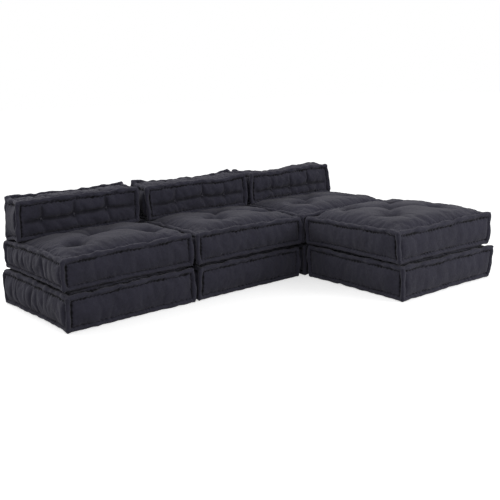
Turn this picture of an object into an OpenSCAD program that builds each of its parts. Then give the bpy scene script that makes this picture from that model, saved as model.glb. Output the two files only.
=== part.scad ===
// Modular floor sofa of eleven hand-sewn mattress cushions in dark cotton canvas.
// Three modules stand in a row, each a base mattress, a seat mattress and a backrest,
// and an ottoman of two mattresses stands in front of the right module.
// Origin: middle of the whole footprint, on the floor. +X runs right along the row,
// +Y runs to the back and +Z runs up. The backrests stand on the rear of the seats.

/* [Mattresses] */
// Width of a mattress over its edge rolls, along the row
module_w = 700; // [560:10:900]
// Depth of a mattress over its edge rolls, front to back
module_d = 692; // [560:10:900]
// Height of a base mattress over its edge rolls
base_h = 184; // [140:2:240]
// Height of a seat mattress over its edge rolls
seat_h = 168; // [130:2:240]
// Rise of a seat's filled top above its edge rolls
seat_crown = 26; // [10:1:45]

/* [Backrests] */
// How far each end of a backrest stands in from its module's side
back_inset = 11; // [0:1:60]
// Height of a backrest over its edge rolls
back_h = 196; // [160:2:300]
// Thickness of a backrest over its edge rolls, front to rear
back_t = 186; // [140:2:240]
// Swell of a backrest's tufted faces past their edge rolls
back_crown = 14; // [6:1:24]
// Puff of a backrest's upper side above its edge rolls
back_puff = 5; // [0:1:24]

/* [Layout] */
// Gap between neighbouring modules of the row
module_gap = 20; // [16:1:80]
// Gap between the right module and the ottoman in front of it
ottoman_gap = 40; // [20:1:200]
// Gap between a cushion and what it lies on, and under a knot
rest_gap = 0.3; // [0.2:0.1:1]

/* [Sewing] */
// Width of the rolled and stitched edge
roll_w = 25; // [18:1:34]
// Depth of the stitched seam beside an edge roll
seam_drop = 7; // [5:0.5:12]
// How far the side band is drawn in beside an edge roll
band_draw = 11; // [6:1:18]
// How far the middle of the side band lies behind the edge rolls
band_set = 4; // [1:0.5:8]
// How far the edges bow in between the corners
edge_bow = 5; // [0:0.5:9]
// How much of a face's swell a tufting tie takes away
tuft_pull = 0.86; // [0.5:0.02:0.92]
// Reach of a tufting dimple from its tie
tuft_reach = 82; // [50:2:120]
// How much of a backrest's swell its sewn crease takes away
crease_pull = 0.7; // [0.3:0.02:0.86]

/* [Ties] */
// Diameter of the tufting twine
tie_d = 4; // [2:0.5:6]
// Diameter of the knot at each end of a tie
knot_d = 16; // [10:1:24]
// Height of a knot
knot_h = 3; // [2:0.5:4]
// Gap between a tie and what it passes through
tie_clear = 0.5; // [0.2:0.1:1]

/* [Filling] */
// Least thickness of the canvas with its layer of wadding
case_wall = 26; // [10:1:30]
// Gap between the filling and the case
fill_clear = 0.8; // [0.4:0.1:1.5]
// Corner radius of the filling, seen from its face
fill_r = 30; // [15:1:45]

/* [Hidden] */
// Columns of the tufting ties, and their rows, as fractions of a face
EVEN = [0.25, 0.5, 0.75];
// Depth that a base is cut flat where it stands on the floor, and a knot's seat is sunk
flat_cut = 0.5;
// Half width of the crease that is sewn along a backrest's face
crease_w = 24;
// Canvas, knots and twine, and raw cotton
CANVAS = "#3c3b46";
TWINE = "#4a4955";
COTTON = "#d8cfbd";

pitch = module_w + module_gap;
// Width of a backrest over its edge rolls
back_w = module_w - 2 * back_inset;
seat_z = base_h + rest_gap;
back_z = seat_z + seat_h + rest_gap;
// Middle of the row and of the ottoman, front to back, with the origin midway between the
// ottoman's front and the backrests' swelling rear faces
row_y = (module_d + ottoman_gap - back_crown) / 2;
ottoman_y = row_y - module_d - ottoman_gap;
// Fraction of a seat's face at which the backrest's foot begins
foot = (module_d - back_t - roll_w) / (module_d - 2 * roll_w);

// Every cushion: its name, its kind, the middle of its place on the floor, how far it lies
// off that place, right and back, as the sofa was put together by hand, and the columns
// and rows at which its ties were sewn. A backrest's ties share one row, and a seat's
// rearmost row is left out here because it lies under the backrest.
CUSHIONS = [
    ["left_base", "base", -pitch, row_y, [-9, -10], EVEN, EVEN],
    ["left_seat", "seat", -pitch, row_y, [-2, 8], [0.2, 0.5, 0.82], [0.23, 0.5]],
    ["left_back", "back", -pitch, row_y, [-2, 4], [0.17, 0.45, 0.74], [0.52]],
    ["middle_base", "base", 0, row_y, [-3, 0], EVEN, EVEN],
    ["middle_seat", "seat", 0, row_y, [4, 1], [0.37, 0.55, 0.86], [0.28, 0.57]],
    ["middle_back", "back", 0, row_y, [20, -8], [0.25, 0.54, 0.78], [0.49]],
    ["right_base", "base", pitch, row_y, [6, 0], EVEN, EVEN],
    ["right_seat", "seat", pitch, row_y, [-2, 5], [0.25, 0.48, 0.81], [0.3, 0.47]],
    ["right_back", "back", pitch, row_y, [10, -5], [0.23, 0.48, 0.72], [0.4]],
    ["ottoman_base", "base", pitch, ottoman_y, [-3, 0], EVEN, EVEN],
    ["ottoman_seat", "ottoman", pitch, ottoman_y, [-1, 14], [0.28, 0.54, 0.8], [0.34, 0.6, 0.83]]];

// Ease from 0 to 1 as t runs from a to b
function ease(a, b, t) = let (s = max(0, min(1, (t - a) / (b - a)))) s * s * (3 - 2 * s);

// How full a face is at a fraction t across it: nothing at the seams, and full within the
// share near of the one at 0 and within the share far of the other
function fullness(t, near = 0.36, far = 0.36) = 1 - pow(1 - min(1, t / near, (1 - t) / far), 3.2);

// How far an edge has left its corner at a fraction t along it
function off_corner(t) = ease(0, 0.1, min(t, 1 - t));

// All rows of a seat's ties, and where its top begins to fall towards the backrest's foot
function seat_rows(r) = [r[0], r[1], (foot + 0.95) / 2];
function brink(r) = foot - min(0.06, (foot - r[1]) / 2);

// Fractions at which the mesh lines of a face run, so that each tie stands on a line:
// across, towards the rear of a seat, and up a backrest
function lines(t) = [0, 0.05, 0.6 * t[0], t[0], (t[0] + t[1]) / 2, t[1], (t[1] + t[2]) / 2, t[2],
    0.4 + 0.6 * t[2], 0.95, 1];
function seat_lines(r) = [0, 0.05, 0.6 * r[0], r[0], (r[0] + r[1]) / 2, r[1], (r[1] + brink(r)) / 2,
    brink(r), foot, r[2], 0.95, 1];
function rise_lines(r) = [0, 0.14, (0.14 + r) / 2, r, (r + 0.86) / 2, 0.86, 1];

// Places of a mattress's ties and of a backrest's, from their columns and rows
function mattress_ties(c, r) = [[c[0], r[0]], [c[2], r[0]], [c[1], r[1]], [c[0], r[2]], [c[2], r[2]]];
function back_ties(c, r) = [for (x = c) [x, r[0]]];

// Place of a fraction t across a face of size s
function face_at(t, s) = roll_w + t * (s - 2 * roll_w);

// How strongly the nearest tie pulls at u, v on a face of size w by d
function pull(u, v, ties, w, d) = max([for (p = ties)
    exp(-(pow((u - p[0]) * w, 2) + pow((v - p[1]) * d, 2)) / pow(tuft_reach, 2))]);

// Heights of the faces above their seams: an ottoman's top, a seat's top, which is flat
// with narrow dimples under the backrest, and a backrest's faces with crease and folds
function swell(u, v, crown, far = 0.36) =
    (seam_drop + crown) * fullness(u) * fullness(v, far = far);
function ottoman_top(u, v, ties) =
    swell(u, v, seat_crown) * (1 - tuft_pull * pull(u, v, ties, module_w, module_d));
function seat_top(u, v, ties, fall) =
    let (under = ease(fall, foot, v))
    swell(u, v, seat_crown * (1 - under), 0.18)
    * (1 - tuft_pull * pow(pull(u, v, ties, module_w, module_d), 1 + 3 * under));
function back_face(u, v, ties) =
    let (
        crease = crease_pull * exp(-pow((v - ties[0][1]) * back_h / crease_w, 2)),
        fold = 0.5 * crease_pull * max([for (p = ties) exp(-pow((u - p[0]) * back_w / crease_w, 2))]),
        tie = tuft_pull * exp(4 * ln(pull(u, v, ties, back_w, back_h))))
    swell(u, v, back_crown) * (1 - max(crease, fold, tie));

// Swell of a side band past its plain depth, by side: front 0, right 1, rear 2, left 3
function no_puff(side, t) = 0;
function back_top_puff(side, t, ties) = side != 2 ? 0
    : (band_set + back_puff)
    * (1 - 0.4 * max([for (p = ties) exp(-pow((t - p[0]) * back_w / crease_w, 2))]));

// Places round an edge: how far across, how far up, which side and how far along it
function edge_points(us, vs) = let (nu = len(us) - 1, nv = len(vs) - 1) concat(
    [for (i = [0 : nu - 1]) [us[i], 0, 0, us[i]]],
    [for (j = [0 : nv - 1]) [1, vs[j], 1, vs[j]]],
    [for (i = [0 : nu - 1]) [us[nu - i], 1, 2, us[nu - i]]],
    [for (j = [0 : nv - 1]) [0, vs[nv - j], 3, vs[nv - j]]]);

// One ring round a cushion: how far in it lies at the corners and along the sides, its
// height, and its share of the band's puff. The sides in straight don't bow in.
function cushion_ring(us, vs, w, d, corner, side, z, share, puff, straight) = [
    for (p = edge_points(us, vs))
        let (
            bow = p[2] == straight ? 0 : edge_bow * 4 * p[3] * (1 - p[3]),
            inset = corner + (side - corner - share * puff(p[2], p[3])) * off_corner(p[3]) + bow,
            x = corner + p[0] * (w - 2 * corner),
            y = corner + p[1] * (d - 2 * corner))
        p[2] == 0 ? [x, inset, z]
        : p[2] == 1 ? [w - inset, y, z]
        : p[2] == 2 ? [x, d - inset, z]
        : [inset, y, z]];

// Points inside a face, row by row, or the middle point alone where it is plain
function face_points(us, vs, w, d, z, sign, height) = is_undef(height) ? [[w / 2, d / 2, z]] : [
    for (j = [1 : len(vs) - 2], i = [1 : len(us) - 2])
        [face_at(us[i], w), face_at(vs[j], d), z + sign * height(us[i], vs[j])]];

// Number of a face's point i, j: on the ring round the face, or among the points inside
function ring_index(i, j, nu, nv) =
    j == 0 ? i
    : i == nu ? nu + j
    : j == nv ? 2 * nu + nv - i
    : 2 * nu + 2 * nv - j;
function face_index(i, j, nu, nv, ring0, inner0) =
    (i == 0 || i == nu || j == 0 || j == nv)
        ? ring0 + ring_index(i, j, nu, nv)
        : inner0 + (j - 1) * (nu - 1) + (i - 1);

// Triangles of a swelling face, turned to suit the upper or the lower one
function swell_tris(nu, nv, ring0, inner0, upper) = [
    for (j = [0 : nv - 1], i = [0 : nu - 1])
        let (
            a = face_index(i, j, nu, nv, ring0, inner0),
            b = face_index(i + 1, j, nu, nv, ring0, inner0),
            c = face_index(i + 1, j + 1, nu, nv, ring0, inner0),
            e = face_index(i, j + 1, nu, nv, ring0, inner0),
            rising = (i < nu / 2) == (j < nv / 2))
        for (t = rising ? [[a, c, b], [a, e, c]] : [[a, e, b], [b, e, c]])
            upper ? t : [t[0], t[2], t[1]]];

// Triangles of a plain face round its middle point
function plain_tris(n, ring0, middle, upper) = [
    for (i = [0 : n - 1])
        let (a = ring0 + i, b = ring0 + (i + 1) % n)
        upper ? [middle, b, a] : [middle, a, b]];

function face_tris(nu, nv, ring0, inner0, upper, height) = is_undef(height)
    ? plain_tris(2 * (nu + nv), ring0, inner0, upper)
    : swell_tris(nu, nv, ring0, inner0, upper);

// Triangles between an upper ring and the one below it
function band_tris(n, upper, lower) = [
    for (i = [0 : n - 1])
        let (k = (i + 1) % n)
        for (t = [[upper + i, upper + k, lower + k], [upper + i, lower + k, lower + i]]) t];

// A whole cushion, lying on z = 0 with one face up: w by d over its edge rolls and h
// high, with mesh lines at us and vs. A face without a height function is plain.
module cushion_form(w, d, h, us, vs, up, down, puff = function (s, t) no_puff(s, t), straight = -1) {
    nu = len(us) - 1;
    nv = len(vs) - 1;
    n = 2 * (nu + nv);
    half = roll_w / 2;
    // Corner inset, side inset, height and share of the puff, from the upper seam down
    levels = [
        [roll_w, roll_w, h - seam_drop, 0],
        [half + 1, half, h, 0],
        [3, 0, h - half, 0],
        [5, band_draw, h - roll_w, 0.3],
        [6, band_set, h / 2, 1],
        [5, band_draw, roll_w, 0.3],
        [3, 0, half, 0],
        [half + 1, half, 0, 0],
        [roll_w, roll_w, seam_drop, 0]];
    rings = [for (l = levels, p = cushion_ring(us, vs, w, d, l[0], l[1], l[2], l[3], puff, straight)) p];
    last_ring = n * (len(levels) - 1);
    top = face_points(us, vs, w, d, h - seam_drop, 1, up);
    bottom = face_points(us, vs, w, d, seam_drop, -1, down);
    top0 = len(rings);
    bottom0 = top0 + len(top);
    polyhedron(
        points = concat(rings, top, bottom),
        faces = concat(
            face_tris(nu, nv, 0, top0, true, up),
            [for (k = [0 : len(levels) - 2], t = band_tris(n, k * n, (k + 1) * n)) t],
            face_tris(nu, nv, last_ring, bottom0, false, down)),
        convexity = 6);
}

// The block of cotton fibre, or the room for it where it is grown by its clearance
module fibre_block(w, d, h, grow = 0) {
    inset = band_draw + edge_bow + case_wall + fill_clear - grow;
    low = seam_drop + case_wall + fill_clear - grow;
    r = fill_r + grow;
    translate([0, 0, low]) linear_extrude(h - 2 * low) {
        translate([inset + r, inset]) square([w - 2 * (inset + r), d - 2 * inset]);
        translate([inset, inset + r]) square([w - 2 * inset, d - 2 * (inset + r)]);
        for (x = [inset + r, w - inset - r], y = [inset + r, d - inset - r])
            translate([x, y]) circle(r, $fn = 48);
    }
}

// Levels at which the knots of a cushion's ties sit, on its upper and its lower face
function upper_seats(h, ties, height) = [for (p = ties)
    h - seam_drop + (is_undef(height) ? 0 : height(p[0], p[1])) - flat_cut];
function lower_seats(ties, height) = [for (p = ties)
    seam_drop - (is_undef(height) ? 0 : height(p[0], p[1])) + flat_cut];

// Room for the ties: a hole through the cushion and a flat seat for each knot
module tie_room(w, d, h, ties, tops, bottoms) {
    for (k = [0 : len(ties) - 1])
        translate([face_at(ties[k][0], w), face_at(ties[k][1], d), 0]) {
            translate([0, 0, -h]) cylinder(d = tie_d + 2 * tie_clear, h = 3 * h, $fn = 24);
            translate([0, 0, tops[k]]) cylinder(d = knot_d + 2 * tie_clear, h = h, $fn = 24);
            translate([0, 0, bottoms[k] - h]) cylinder(d = knot_d + 2 * tie_clear, h = h, $fn = 24);
        }
}

// The ties themselves: twine through the cushion with a knot on each face
module tie_set(w, d, ties, tops, bottoms) {
    for (k = [0 : len(ties) - 1])
        translate([face_at(ties[k][0], w), face_at(ties[k][1], d), 0]) {
            low = bottoms[k] - rest_gap - knot_h;
            high = tops[k] + rest_gap;
            translate([0, 0, low]) cylinder(d = tie_d, h = high - low + knot_h, $fn = 24);
            for (z = [low, high]) translate([0, 0, z]) cylinder(d = knot_d, h = knot_h, $fn = 24);
        }
}

// A cushion's case: its form, hollow for the filling and open for the ties
module case(w, d, h, ties, tops, bottoms) {
    color(CANVAS) difference() {
        children();
        fibre_block(w, d, h, fill_clear);
        tie_room(w, d, h, ties, tops, bottoms);
    }
}

module filling(w, d, h, ties) {
    color(COTTON) difference() {
        fibre_block(w, d, h);
        for (p = ties) translate([face_at(p[0], w), face_at(p[1], d), 0])
            cylinder(d = tie_d + 2 * tie_clear, h = h, $fn = 24);
    }
}

// One piece of a mattress of height h with the top that its height function gives
module mattress_piece(piece, h, us, vs, ties, top) {
    tops = upper_seats(h, ties, top);
    bottoms = lower_seats(ties, undef);
    if (piece == "cover") case(module_w, module_d, h, ties, tops, bottoms)
        cushion_form(module_w, module_d, h, us, vs, top, undef);
    if (piece == "filling") filling(module_w, module_d, h, ties);
    if (piece == "ties") color(TWINE) tie_set(module_w, module_d, ties, tops, bottoms);
}

// A base, its rolls cut flat where they stand on the floor
module base_piece(piece, columns, rows) {
    difference() {
        translate([0, 0, -flat_cut]) mattress_piece(piece, base_h + flat_cut,
            lines(columns), lines(rows), mattress_ties(columns, rows), undef);
        if (piece == "cover") translate([-module_w, -module_d, -base_h])
            cube([3 * module_w, 3 * module_d, base_h]);
    }
}

module seat_piece(piece, columns, front_rows) {
    rows = seat_rows(front_rows);
    ties = mattress_ties(columns, rows);
    translate([0, 0, seat_z]) mattress_piece(piece, seat_h, lines(columns), seat_lines(rows), ties,
        function (u, v) seat_top(u, v, ties, brink(rows)));
}

module ottoman_piece(piece, columns, rows) {
    ties = mattress_ties(columns, rows);
    translate([0, 0, seat_z]) mattress_piece(piece, seat_h, lines(columns), lines(rows), ties,
        function (u, v) ottoman_top(u, v, ties));
}

// A backrest, turned up from its back so that its upper face looks to the front
module back_piece(piece, columns, rows) {
    ties = back_ties(columns, rows);
    face = function (u, v) back_face(u, v, ties);
    tops = upper_seats(back_t, ties, face);
    bottoms = lower_seats(ties, face);
    translate([back_inset, module_d, back_z]) rotate([90, 0, 0]) {
        if (piece == "cover") case(back_w, back_h, back_t, ties, tops, bottoms)
            cushion_form(back_w, back_h, back_t, lines(columns), rise_lines(rows[0]), face, face,
                function (s, t) back_top_puff(s, t, ties), 0);
        if (piece == "filling") filling(back_w, back_h, back_t, ties);
        if (piece == "ties") color(TWINE) tie_set(back_w, back_h, ties, tops, bottoms);
    }
}

// One piece of a cushion of the given kind, standing on its module's front left corner
module cushion_piece(kind, piece, columns, rows) {
    if (kind == "base") base_piece(piece, columns, rows);
    if (kind == "seat") seat_piece(piece, columns, rows);
    if (kind == "ottoman") ottoman_piece(piece, columns, rows);
    if (kind == "back") back_piece(piece, columns, rows);
}

for (c = CUSHIONS, piece = ["cover", "filling", "ties"])
    translate([c[2] - module_w / 2 + c[4][0], c[3] - module_d / 2 + c[4][1], 0])
            cushion_piece(c[1], piece, c[5], c[6]);
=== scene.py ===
import functools
import math

import bmesh
import bpy
import numpy as np
from bpy.props import FloatProperty, FloatVectorProperty, IntProperty, PointerProperty
from mathutils import Matrix, Vector, noise


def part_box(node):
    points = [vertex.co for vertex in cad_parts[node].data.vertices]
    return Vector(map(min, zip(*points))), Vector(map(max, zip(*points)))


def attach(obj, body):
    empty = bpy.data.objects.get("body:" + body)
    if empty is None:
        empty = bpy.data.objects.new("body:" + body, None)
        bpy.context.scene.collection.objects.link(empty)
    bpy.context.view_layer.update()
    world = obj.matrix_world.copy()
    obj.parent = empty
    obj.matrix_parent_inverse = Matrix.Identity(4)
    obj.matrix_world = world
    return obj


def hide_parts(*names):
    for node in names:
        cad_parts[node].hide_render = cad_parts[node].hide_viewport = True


bl_info = {
    "name": "Tufted Mattress Sofa",
    "version": (1, 0, 0),
    "blender": (4, 5, 0),
    "location": "3D View > Sidebar > Sofa",
    "description": "Dresses the packed floor sofa with sewn and tufted canvas mattresses",
    "category": "Object",
}

MM = 0.001
ROW = ("left", "middle", "right")
CUSHIONS = [f"{place}_{kind}" for place in ROW for kind in ("base", "seat", "back")]
CUSHIONS += ["ottoman_base", "ottoman_seat"]
# Each cushion draws its handmade differences from its own seed, counted from this one
FIRST_SEED = 100
# mathutils starts its noise from the clock, unless it is given a seed
NOISE_SEED = 4
# A point this near a side of the plain box lies on it, and one this near a seam lies on the seam, in metres
ON_SIDE = 1e-7
ON_SEAM = 1e-5
# Further off than anything in the scene, in metres
FAR = 10.0
# How far a backrest squashes its lower rolls
SQUASH = 5 * MM
# Columns and rows of the ties, as fractions of a face inside its rolls. A backrest has one row, and a seat
# has a third that lies under its backrest
EVEN = ((0.25, 0.5, 0.75), (0.25, 0.5, 0.75))
SEWN = {
    "left_seat": ((0.2, 0.5, 0.82), (0.23, 0.5)),
    "middle_seat": ((0.37, 0.55, 0.86), (0.28, 0.57)),
    "right_seat": ((0.25, 0.48, 0.81), (0.3, 0.47)),
    "ottoman_seat": ((0.28, 0.54, 0.8), (0.34, 0.6, 0.83)),
    "left_back": ((0.17, 0.45, 0.74), (0.52,)),
    "middle_back": ((0.25, 0.54, 0.78), (0.49,)),
    "right_back": ((0.23, 0.48, 0.72), (0.4,)),
}
# How much higher or lower the crease of a backrest was tied at each of its ties, in millimetres
CREASE_LIFTS = {"left_back": (-4, 0, 4), "middle_back": (-4, 4, -4), "right_back": (1, -2, -2)}
# How many degrees each cushion lies turned on what carries it
TURNS = {
    "left_base": 0.8,
    "middle_base": 0.7,
    "ottoman_base": -0.5,
    "left_seat": 0.6,
    "ottoman_seat": -1.1,
    "left_back": -0.3,
    "middle_back": -0.3,
    "right_back": 0.7,
}
# Corners that the hand filling left off their place: right, back and up, in millimetres
OFF_CORNERS = {
    "left_base": {
        "front left top": (12, -6, -9),
        "rear left top": (-19, 0, 3),
        "rear left bottom": (-21, 6, 0),
    },
    "left_seat": {
        "front left top": (0, 0, -13),
        "rear left top": (-2, 0, -24),
        "rear left bottom": (-6, 0, -3),
        "front right top": (0, 0, 3),
    },
    "left_back": {
        "front left bottom": (-13, 6, -8),
        "rear left top": (8, -6, 0),
        "rear left bottom": (-3, 0, -32),
    },
    "middle_base": {
        "front left top": (8, -3, -7),
        "front right top": (0, 0, -10),
        "front right bottom": (-9, 4, 0),
    },
    "middle_seat": {"front left top": (0, 0, 4), "front right top": (0, 0, -10)},
    "middle_back": {
        "front left top": (-14, 0, 0),
        "front left bottom": (-12, 0, 0),
        "rear left top": (-12, 0, 0),
        "rear left bottom": (-12, 0, 0),
    },
    "right_back": {"front right top": (-18, 6, 0), "rear right top": (-14, 0, 0)},
    "ottoman_base": {"front right top": (20, -10, -4)},
    "ottoman_seat": {
        "front left top": (-9, 12, 0),
        "rear left top": (0, 0, -9),
        "front right top": (10, -8, 12),
        "front right bottom": (7, 0, -5),
    },
}
# Places along a backrest, as fractions of its width, and the rise of its two rims there, in millimetres
RIM_PLACES = (0, 0.25, 0.5, 0.75, 1)
RIMS = {
    "left_back": {"front": (0, 0, 0, 0, 0), "rear": (14, 8, 5, 8, 13)},
    "middle_back": {"front": (0, 0, -5, -12, -2), "rear": (13, 2, -2, 0, 11)},
    "right_back": {"front": (-3, -6, -6, 0, -10), "rear": (2, -22, -20, -6, -4)},
}
# Bands that swell further than the others, in millimetres, by cushion and side
FULLER = {
    "left_back right": 12,
    "middle_back left": 5,
    "left_base left": 6,
    "left_seat left": 3,
    "ottoman_base right": 8,
}
# Depth of the upright pleats of the side bands, as a share of the size "pleat", by side, and for two bands
# that the filling has pleated more
PLEATED_BY_SIDE = {"left": 0.25, "right": 0.8, "front": 0.24, "rear": 0.7}
PLEATED = {"left_base left": 1.2, "left_seat left": 1.2}
# How sharp the fold is that runs up from each tie of a backrest, from left to right
FOLDS = {"left_back": (1, 0.6, 1.2), "middle_back": (0.6, 0.7, 0.5), "right_back": (0.45, 0.4, 1.1)}
# How much further the top of a mattress is filled than the others, in millimetres, and how deep its ties
# draw it in, as a share of how deep they draw the others
DOMED = {"ottoman_seat": 9, "right_seat": 3}
DRAWN = {"ottoman_seat": 0.5, "right_seat": 0.8}
# How far off a tie, a valley between ties, and the crease and the folds of a backrest draw in the cloth
TIE_REACH = 52 * MM
VALLEY_REACH = 32 * MM
CREASE_REACH = 12 * MM
FOLD_REACH = 11 * MM
# How strongly the bands of the ottoman are gathered, as a share of the others
GATHERED = {"ottoman": 0.3}
# The axis that runs across the bands whose upright seams hardly show: 1 on the ottoman, 0 on the others
FAINT = {"ottoman": 1}
SIDES = (("left", "right"), ("front", "rear"), ("bottom", "top"))

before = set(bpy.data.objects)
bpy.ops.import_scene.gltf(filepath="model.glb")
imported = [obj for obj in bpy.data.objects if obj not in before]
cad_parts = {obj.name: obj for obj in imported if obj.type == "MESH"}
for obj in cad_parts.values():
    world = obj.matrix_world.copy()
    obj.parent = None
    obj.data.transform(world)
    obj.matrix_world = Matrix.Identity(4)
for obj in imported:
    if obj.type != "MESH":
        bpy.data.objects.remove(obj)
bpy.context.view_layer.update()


def number(name, description, default, **kind):
    """A property for a number."""
    return FloatProperty(name=name, description=description, default=default, **kind)


def length(name, description, millimetres):
    """A property for a length, whose default is given in millimetres."""
    return number(name, description, millimetres * MM, unit="LENGTH")


class SofaSizes(bpy.types.PropertyGroup):
    """Sizes of the cushions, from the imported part, and of the sewing that they share."""

    tip: length("Roll tip", "How far a cushion's box lies inside its full size", 2.4)
    roll: length("Edge roll", "Width of a rolled edge", 25)
    deep_seam: length("Deep seam", "Depth of a seam below its roll on a band or a backrest", 6.5)
    flat_seam: length("Flat seam", "Depth of a seam below its roll on a mattress face", 3)
    groove: length("Groove", "Extra depth of a deep seam's stitching", 3)
    stitch: length("Stitch", "Length of a stitch along a roll", 23)
    dent: length("Dent", "Depth that a stitch pulls a roll in", 3.6)
    gather: length("Gather", "Depth of the gathers beside a seam", 2.2)
    pleat: length("Pleat", "Depth of the deepest pleats in a band", 8)
    wrinkle: length("Wrinkle", "Depth of the wrinkles that run to a tie", 1.8)
    seat_crown: length("Seat crown", "Rise of a seat's top above its seams", 27)
    back_t: length("Backrest thickness", "Thickness over the edge rolls", 186)
    back_h: length("Backrest height", "Height over the edge rolls", 196)
    back_crown: length("Backrest crown", "Swell of a backrest's faces above their seams", 17)
    band_swell: length("Band swell", "Swell of the side bands above their seams", 13)
    top_swell: length("Top swell", "Swell of a backrest's top above its seams", 8)
    parting: length("Parting", "How far the rolls of stacked cushions stay apart", 3.5)
    edge_bow: length("Edge bow", "How far the edges bow in between corners", 3)
    ear: length("Ear", "How far a corner stands out", 5)
    mesh_step: length("Mesh step", "Spacing of the mesh before it is smoothed", 11)


class SofaSewing(bpy.types.PropertyGroup):
    """How the cloth of the cushions is cut and filled."""

    slack: number("Slack", "Spare length of the cloth between its seams, as a share", 0.08)
    pressure: number("Pressure", "How hard the filling pushes the cloth out", 6)
    stiffness: number("Stiffness", "How much the canvas resists a fold", 0.03)
    frames: IntProperty(name="Frames", description="Steps in which the cloth settles", default=20)
    cap: length("Cap", "How far the cloth may move", 15)


def linear(code):
    """Linear red, green and blue of an sRGB hex colour."""
    parts = [int(code[i : i + 2], 16) / 255 for i in (1, 3, 5)]
    return [c / 12.92 if c <= 0.04045 else ((c + 0.055) / 1.055) ** 2.4 for c in parts]


def colour(name, description, code):
    """A property for a colour, whose default is given as an sRGB hex value."""
    default = (*linear(code), 1)
    return FloatVectorProperty(name=name, description=description, default=default, size=4, subtype="COLOR")


class SofaColours(bpy.types.PropertyGroup):
    """Colours of the canvas, the filling and the twine, among them painted shade for seams, creases and
    hollows and painted highlights for the crowns of rolls, clumps and strands.
    """

    canvas: colour("Canvas", "The canvas where its dye took best", "#282731")
    canvas_faded: colour("Faded canvas", "The canvas where it has faded a little", "#31303c")
    mottle: colour("Mottle", "The canvas's small pale patches", "#3a3946")
    slub: colour("Slub", "Thick threads in the weave", "#3f3e4c")
    # The paler crown of each roll: partly wear, partly a painted highlight
    worn: colour("Worn roll", "The rubbed crown of an edge roll", "#4a4957")
    seam: colour("Seam", "The shade in a seam or a sharp crease", "#07070b")
    # The wadding is darker in its hollows and paler on its clumps: painted shade and painted highlight that
    # follow its bump
    fibre: colour("Fibre", "Cotton wadding in its hollows", "#cfc4ac")
    fibre_pale: colour("Pale fibre", "Cotton wadding on its clumps", "#e8e0cd")
    husk: colour("Husk", "Flecks of seed husk", "#6d5b41")
    # The twine is darker between its strands and paler on them: painted shade and painted highlight that
    # follow its bump
    twine: colour("Twine", "The twine between its strands", "#2c2b34")
    twine_pale: colour("Pale twine", "The twine on its strands", "#484652")


def new_material(name):
    """A material without nodes, and the function that adds a node to it."""
    made = bpy.data.materials.new(name)
    made.use_nodes = True
    made.node_tree.nodes.clear()
    return made, functools.partial(add_node, made.node_tree)


def add_node(tree, kind, inputs, output=0, **settings):
    """Adds a node with its settings. Each input, by name or number, is linked to an output or set to a value.
    Gives back one of the node's outputs, if it has any.

    Numbers serve where inputs share a name. A Mix node has its share at 0 and its two colours at 6 and 7, and
    a Map Range has its value at 0, the range it comes from at 1 and 2 and the one it goes to at 3 and 4."""
    made = tree.nodes.new(f"ShaderNode{kind}")
    for key, value in settings.items():
        setattr(made, key, value)
    for key, value in inputs.items():
        if isinstance(value, bpy.types.NodeSocket):
            tree.links.new(value, made.inputs[key])
        else:
            made.inputs[key].default_value = value
    return made.outputs[output] if made.outputs else None


def bands_apart(millimetres):
    """Scale of a wave texture with bands so far apart. At a scale of 1 it makes 20 radians of a metre."""
    return 2 * math.pi / (millimetres * MM) / 20


def finished(material, look):
    """The material, with its look on the surface."""
    surface = add_node(material.node_tree, "BsdfPrincipled", look)
    add_node(material.node_tree, "OutputMaterial", {"Surface": surface})
    return material


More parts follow.
